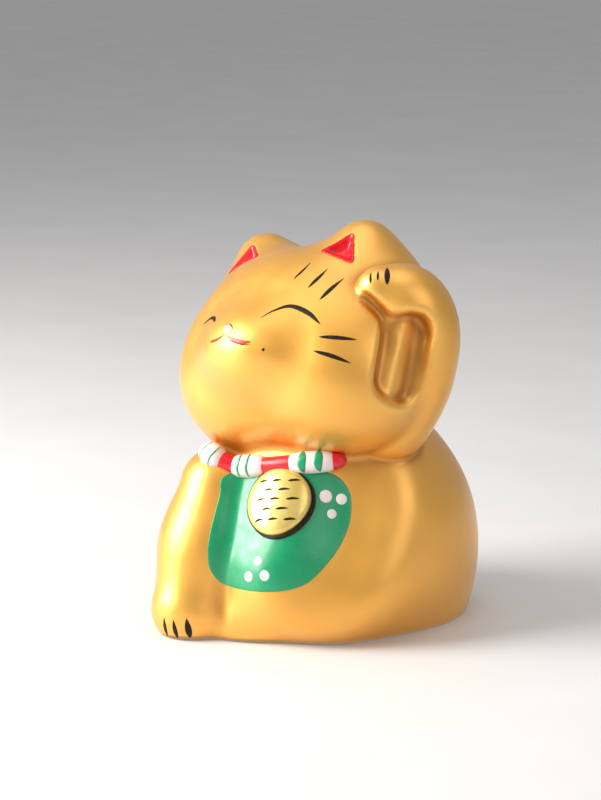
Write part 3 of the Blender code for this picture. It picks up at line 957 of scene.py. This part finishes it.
def coin_dashes():
    """Short brushed dashes in staggered rows, like the chisel marks of an old coin."""
    dashes = []
    for row in range(5):
        for column in (-1, 1) if row % 2 else (-2, 0, 2):
            across, down = column * DASH_ACROSS, DASH_TOP - row * DASH_DOWN
            x = across * math.cos(COIN_LEAN) - down * math.sin(COIN_LEAN)
            z = down * math.cos(COIN_LEAN) + across * math.sin(COIN_LEAN)
            x, z = x + COIN_MIDDLE[0] + DASH_SHIFT, z + COIN_MIDDLE[1]
            spots = [(x + d * DASH_HALF, BEFORE_CHEST, z + d * 0.2 - 0.1 * d * d) for d in (-1, 0, 1)]
            dashes.append(stroke(spots, leaning(DASH_WIDTH, 0.42), place=coin_surface, samples=20))
    return dashes


def coin_outline_and_shadow(paint):
    """Painted line round the coin, thin on the right and broad below it on the cat's left, where it is also
    a painted shadow of the raised coin.
    """
    angles = np.linspace(0, 2 * math.pi, 120, endpoint=False)
    # painted shadow: the line broadens below the coin on the cat's left
    widths = [OUTLINE_THIN + OUTLINE_SHADOW_SWELL * max(0.0, math.cos(angle + OUTLINE_SHADOW_TURN)) ** 1.1
              for angle in angles]
    ring = []
    for angle, width in zip(angles, widths):
        reach = coin_reach(angle, width / 2 - OUTLINE_UNDER)
        ring.append((COIN_MIDDLE[0] + reach * math.cos(angle), COIN_MIDDLE[1] + reach * math.sin(angle)))
    verts, faces = closed_band(on_chest(*ring), widths, OUTLINE_HEIGHT)
    piece("coin_outline_and_shadow", verts, faces, paint)


def closed_band(path, widths, height):
    """A closed rounded band of varying width lying on the skin along a loop."""
    path, normal = settle(path, rounds=2)
    ahead = np.roll(path, -1, axis=0) - np.roll(path, 1, axis=0)
    side = np.cross(normal, ahead)
    side /= np.linalg.norm(side, axis=1, keepdims=True)
    widths = np.array(widths)[:, None]
    rows = []
    for u in np.linspace(-1, 1, 9):
        rows.append(path + side * widths * u / 2 + normal * (height * (1 - u ** 6) - RIM_SINK))
    for u in np.linspace(1, -1, 5):
        rows.append(path + side * widths * u / 2 - normal * ROOT)
    verts = np.stack(rows, axis=1).reshape(-1, 3)
    return verts, tube_faces(len(path), len(rows), closed_rows=True)


COLLAR = [(-15.9, -17.4, 33.1), (-15.2, -18.6, 32.8), (-14.0, -19.2, 32.5), (-12.2, -19.3, 31.9),
          (-9.0, -18.5, 31.1), (-3.4, -18.0, 31.7), (1.7, -17.5, 32.6), (6.2, -16.2, 33.3),
          (10.2, -14.2, 33.7)]
BAND_RADIUS = 1.08
BEAD_RADIUS = 1.38
BEAD_END = 0.7 * BEAD_RADIUS  # from a bead's end to the last ball in it
BEAD_TAPER = 0.2
STRIPE_LIFT = 0.1
BEADS = {  # from, to, stripes along x, and the stripes' width
    "right": (-16.2, -11.9, (-14.6, -13.3), 0.3),
    "centre": (-10.3, -2.9, (-8.0, -6.2), 0.62),
    "left": (1.1, 9.9, (4.3, 6.9), 1.75),
}


def band_point(x):
    """The point of the band's centre line at an x."""
    path = smooth_path(COLLAR, 120)
    start = int(np.argmin(path[:, 0]))
    return vec(*(np.interp(x, path[start:, 0], path[start:, axis]) for axis in range(3)))


def bead_balls(low, high):
    """Balls along the band between two x, a little smaller towards the ends."""
    places = np.linspace(low + BEAD_END, high - BEAD_END, 19)
    middle, half = (low + high) / 2, (high - low) / 2 - BEAD_END
    radii = [BEAD_RADIUS - BEAD_TAPER * abs((x - middle) / half) ** 4 for x in places]
    return vec(*((*band_point(x), radius) for x, radius in zip(places, radii)))


def bead_stripe(balls, x, width):
    """A green stripe round a bead, from the skin above it to the bib below."""
    middle, ahead = band_point(x), band_point(x + 0.5) - band_point(x - 0.5)
    out = np.cross(ahead, (0, 0.45, 1))
    out /= np.linalg.norm(out)
    up = np.cross(out, ahead)
    up /= np.linalg.norm(up)
    spots = []
    for angle in np.radians([72, 45, 15, -15, -45, -72]):
        round_it = (BEAD_RADIUS + STRIPE_LIFT) * (math.cos(angle) * out + math.sin(angle) * up)
        spots.append(middle + round_it + 0.1 * math.sin(3 * angle) * ahead)

    def on_bead(points):
        return settle(points, lambda near: rope(near, balls))

    return stroke(spots, leaning(width, 0.52), height=STRIPE_LIFT, place=on_bead, samples=36)


def collar(red, white, green):
    """A rolled red band under the chin, with three white beads, each with two green stripes."""
    balls = np.column_stack([smooth_path(COLLAR, 60), np.full(60, BAND_RADIUS)])
    made = piece("collar_enamel", *net_round(balls, BAND_CELL), red)
    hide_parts("collar_band")
    stripes = []
    for side, (low, high, lines, width) in BEADS.items():
        balls = bead_balls(low, high)
        bead = piece("bead_" + side, *net_round(balls, BEAD_CELL), white)
        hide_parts("collar_bead_" + side)
        stripes.extend(bead_stripe(balls, x, width) for x in lines)
    piece("bead_stripes", *joined(stripes), green)


def net_round(balls, cell):
    """The surface of a rope of balls, polygonised and settled."""
    def field(points):
        return rope(points, balls)

    low = (balls[:, :3] - balls[:, 3:]).min(axis=0) - 1.0
    high = (balls[:, :3] + balls[:, 3:]).max(axis=0) + 1.0
    verts, quads = surface_net(field, low, high, cell)
    return settle(verts, field, rounds=2)[0], quads


LINING_ABOVE, LINING_BELOW = 0.16, 0.45  # the clay's surface
LINING_SPREAD = 0.14  # past the pocket's edge
LINING_REACH = 5.2  # half the width of the box that holds one
LINING_BLENDS = 0.1, 0.08


def ear_reds(red):
    """Red enamel over the walls and floor of each ear pocket."""
    for side, corners in POCKETS.items():
        middle = from_head(sum(vec(*corner) for corner in corners) / 3)[0]

        def lining(points, corners=corners):
            skin = outer_skin(points)
            layer = overlap(skin - LINING_ABOVE, -skin - LINING_BELOW, LINING_BLENDS[0])
            pocket = ear_pocket(to_head(points), corners, grow=LINING_SPREAD)
            return overlap(layer, pocket, LINING_BLENDS[1])

        verts, quads = surface_net(lining, middle - LINING_REACH, middle + LINING_REACH, LINING_CELL)
        made = piece("ear_red_" + side, verts, quads, red)
        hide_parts("ear_lining_" + side)


def lathe(profile, middle, steps=96):
    """A turned closed shape from (radius, height) points that start and end on the axis."""
    inner = profile[1:-1]
    angles = np.linspace(0, 2 * math.pi, steps, endpoint=False)
    verts = [(middle[0], middle[1], profile[0][1])]
    for radius, height in inner:
        for a in angles:
            verts.append((middle[0] + radius * math.cos(a), middle[1] + radius * math.sin(a), height))
    verts.append((middle[0], middle[1], profile[-1][1]))
    last = len(verts) - 1
    faces = []
    for k in range(steps):
        beside = (k + 1) % steps
        faces.append([0, 1 + k, 1 + beside])
        for row in range(len(inner) - 1):
            low, high = 1 + row * steps, 1 + (row + 1) * steps
            faces.append([low + k, high + k, high + beside, low + beside])
        low = 1 + (len(inner) - 1) * steps
        faces.append([low + beside, low + k, last])
    return np.array(verts), faces


def softened(corners, radius, steps=5):
    """A turned profile's corners rounded off, apart from its two ends on the axis."""
    out = [corners[0]]
    for before, corner, after in zip(corners, corners[1:], corners[2:]):
        before, corner, after = vec(*before), vec(*corner), vec(*after)
        back, ahead = before - corner, after - corner
        reach = min(radius, np.linalg.norm(back) * 0.45, np.linalg.norm(ahead) * 0.45)
        start = corner + back / np.linalg.norm(back) * reach
        end = corner + ahead / np.linalg.norm(ahead) * reach
        for t in np.linspace(0, 1, steps):
            out.append(tuple((1 - t) ** 2 * start + 2 * t * (1 - t) * corner + t * t * end))
    return out + [corners[-1]]


def stopper(material):
    """The base plug: flange with a dimple, stepped barrel, hollow cup."""
    corners = [(0.0, 3.2), (3.4, 3.2), (3.4, 8.6), (4.7, 8.6), (5.2, 1.8), (7.8, 1.8), (7.8, 0.7),
               (2.9, 0.7), (2.2, 1.3), (0.0, 1.3)]
    verts, faces = lathe(softened(corners, 0.35), POUR_CENTRE)
    made = piece("soft_plug", verts, faces, material, PLUG_BODY)
    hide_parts("base_stopper")


def build_cat():
    paint = brush_paint("dark_brush_paint", (0.010, 0.005, 0.002), (0.040, 0.018, 0.006))
    red = enamel("red_enamel", (0.80, 0.003, 0.018), (0.68, 0.002, 0.012))
    mouth_red = enamel("mouth_red", (0.80, 0.012, 0.012), (0.62, 0.008, 0.008), 0.3)
    green = enamel("green_enamel", (0.0, 0.30, 0.118), (0.0, 0.27, 0.102), 0.32)
    white = enamel("white_enamel", (0.84, 0.76, 0.75), (0.78, 0.69, 0.68))
    pink = enamel("pink_enamel", (0.86, 0.50, 0.50), (0.80, 0.40, 0.42))
    glazed_skin(gold_lacquer())
    ear_reds(red)
    eyes(paint)
    mouth(mouth_red, paint)
    nose(pink, paint)
    face_marks(paint)
    claws(paint)
    bib(green, white)
    coin(coin_gold(), paint)
    collar(red, white, green)
    stopper(soft_plastic())


# ---------------- stage

CAMERA_HEADING = 31.0
CAMERA_HEIGHT = 12.5
CAMERA_DISTANCE = 480.0
CAMERA_TARGET = vec(-4.7, -3.4, 41.1)
FOCAL_LENGTH = 115.56
SENSOR = 36.0
LIT_POINT = vec(0, -4, 36)


def facing(heading, height):
    """Unit vector towards a viewer at a heading (0 is in front, + is the cat's left) and height."""
    heading, height = math.radians(heading), math.radians(height)
    level = math.cos(height)
    return vec(math.sin(heading) * level, -math.cos(heading) * level, math.sin(height))


def aim(item, position, target):
    """Put an item at a place, looking at another."""
    item.location = to_world(position)
    item.rotation_euler = Vector(target - position).to_track_quat("-Z", "Y").to_euler()


def camera():
    lens = bpy.data.cameras.new("camera")
    lens.lens = FOCAL_LENGTH
    lens.sensor_width = SENSOR
    lens.clip_start = 0.01
    item = bpy.data.objects.new("camera", lens)
    bpy.context.scene.collection.objects.link(item)
    aim(item, CAMERA_TARGET + facing(CAMERA_HEADING, CAMERA_HEIGHT) * CAMERA_DISTANCE, CAMERA_TARGET)
    bpy.context.scene.camera = item


def softbox(name, heading, height, distance, size, power, colour=(1, 1, 1)):
    light = bpy.data.lights.new(name, "AREA")
    light.shape = "RECTANGLE"
    light.size, light.size_y = size[0] * UNIT, size[1] * UNIT
    light.energy = power
    light.color = colour
    item = bpy.data.objects.new(name, light)
    bpy.context.scene.collection.objects.link(item)
    aim(item, LIT_POINT + facing(heading, height) * distance, LIT_POINT)


TABLE_SIZE = 6.0  # metres
TABLE_GAP = 0.00002
FOOT_CLEAR = 0.001  # a ray that meets the table within this passes through it


def floor():
    """A pale table, clear from below and to the rays that start on the foot just above it."""
    bpy.ops.mesh.primitive_plane_add(size=TABLE_SIZE, location=(0, 0, cad_box[0][2] - TABLE_GAP))
    table = bpy.context.object
    table.name = "pale_table"
    material, tree, shader = new_material("pale_table", (0.78, 0.77, 0.76), 0.5)
    pale = drifting(tree, noise(tree, 30.0, 4.0), 0.3, 0.7, (0.80, 0.79, 0.78), (0.76, 0.75, 0.74))
    tree.links.new(pale, shader.inputs["Base Color"])
    clear = node(tree, "ShaderNodeBsdfTransparent")
    facing_away = node(tree, "ShaderNodeNewGeometry").outputs["Backfacing"]
    travel = node(tree, "ShaderNodeLightPath").outputs["Ray Length"]
    see_through = node(tree, "ShaderNodeMath", operation="MAXIMUM")
    tree.links.new(facing_away, see_through.inputs[0])
    tree.links.new(remap(tree, travel, FOOT_CLEAR, FOOT_CLEAR * 1.2, 1.0, 0.0), see_through.inputs[1])
    either = node(tree, "ShaderNodeMixShader")
    tree.links.new(see_through.outputs["Value"], either.inputs["Fac"])
    tree.links.new(shader.outputs["BSDF"], either.inputs[1])
    tree.links.new(clear.outputs["BSDF"], either.inputs[2])
    tree.links.new(either.outputs["Shader"], tree.nodes["Material Output"].inputs["Surface"])
    table.data.materials.append(material)


def world():
    sky = bpy.data.worlds.new("studio")
    sky.use_nodes = True
    set_inputs(sky.node_tree.nodes["Background"], Color=(0.72, 0.72, 0.74, 1.0), Strength=0.5)
    bpy.context.scene.world = sky


def build_stage():
    bpy.context.scene.view_settings.view_transform = "Standard"
    softbox("window", -50, 24, 420, (250, 300), 3.5, (1.0, 0.98, 0.95))
    softbox("fill", 75, 28, 520, (300, 360), 0.55, (1.0, 0.98, 0.96))
    softbox("top", 0, 84, 460, (380, 380), 0.6)
    floor()
    world()
    camera()


build_cat()
build_stage()
bpy.context.view_layer.update()
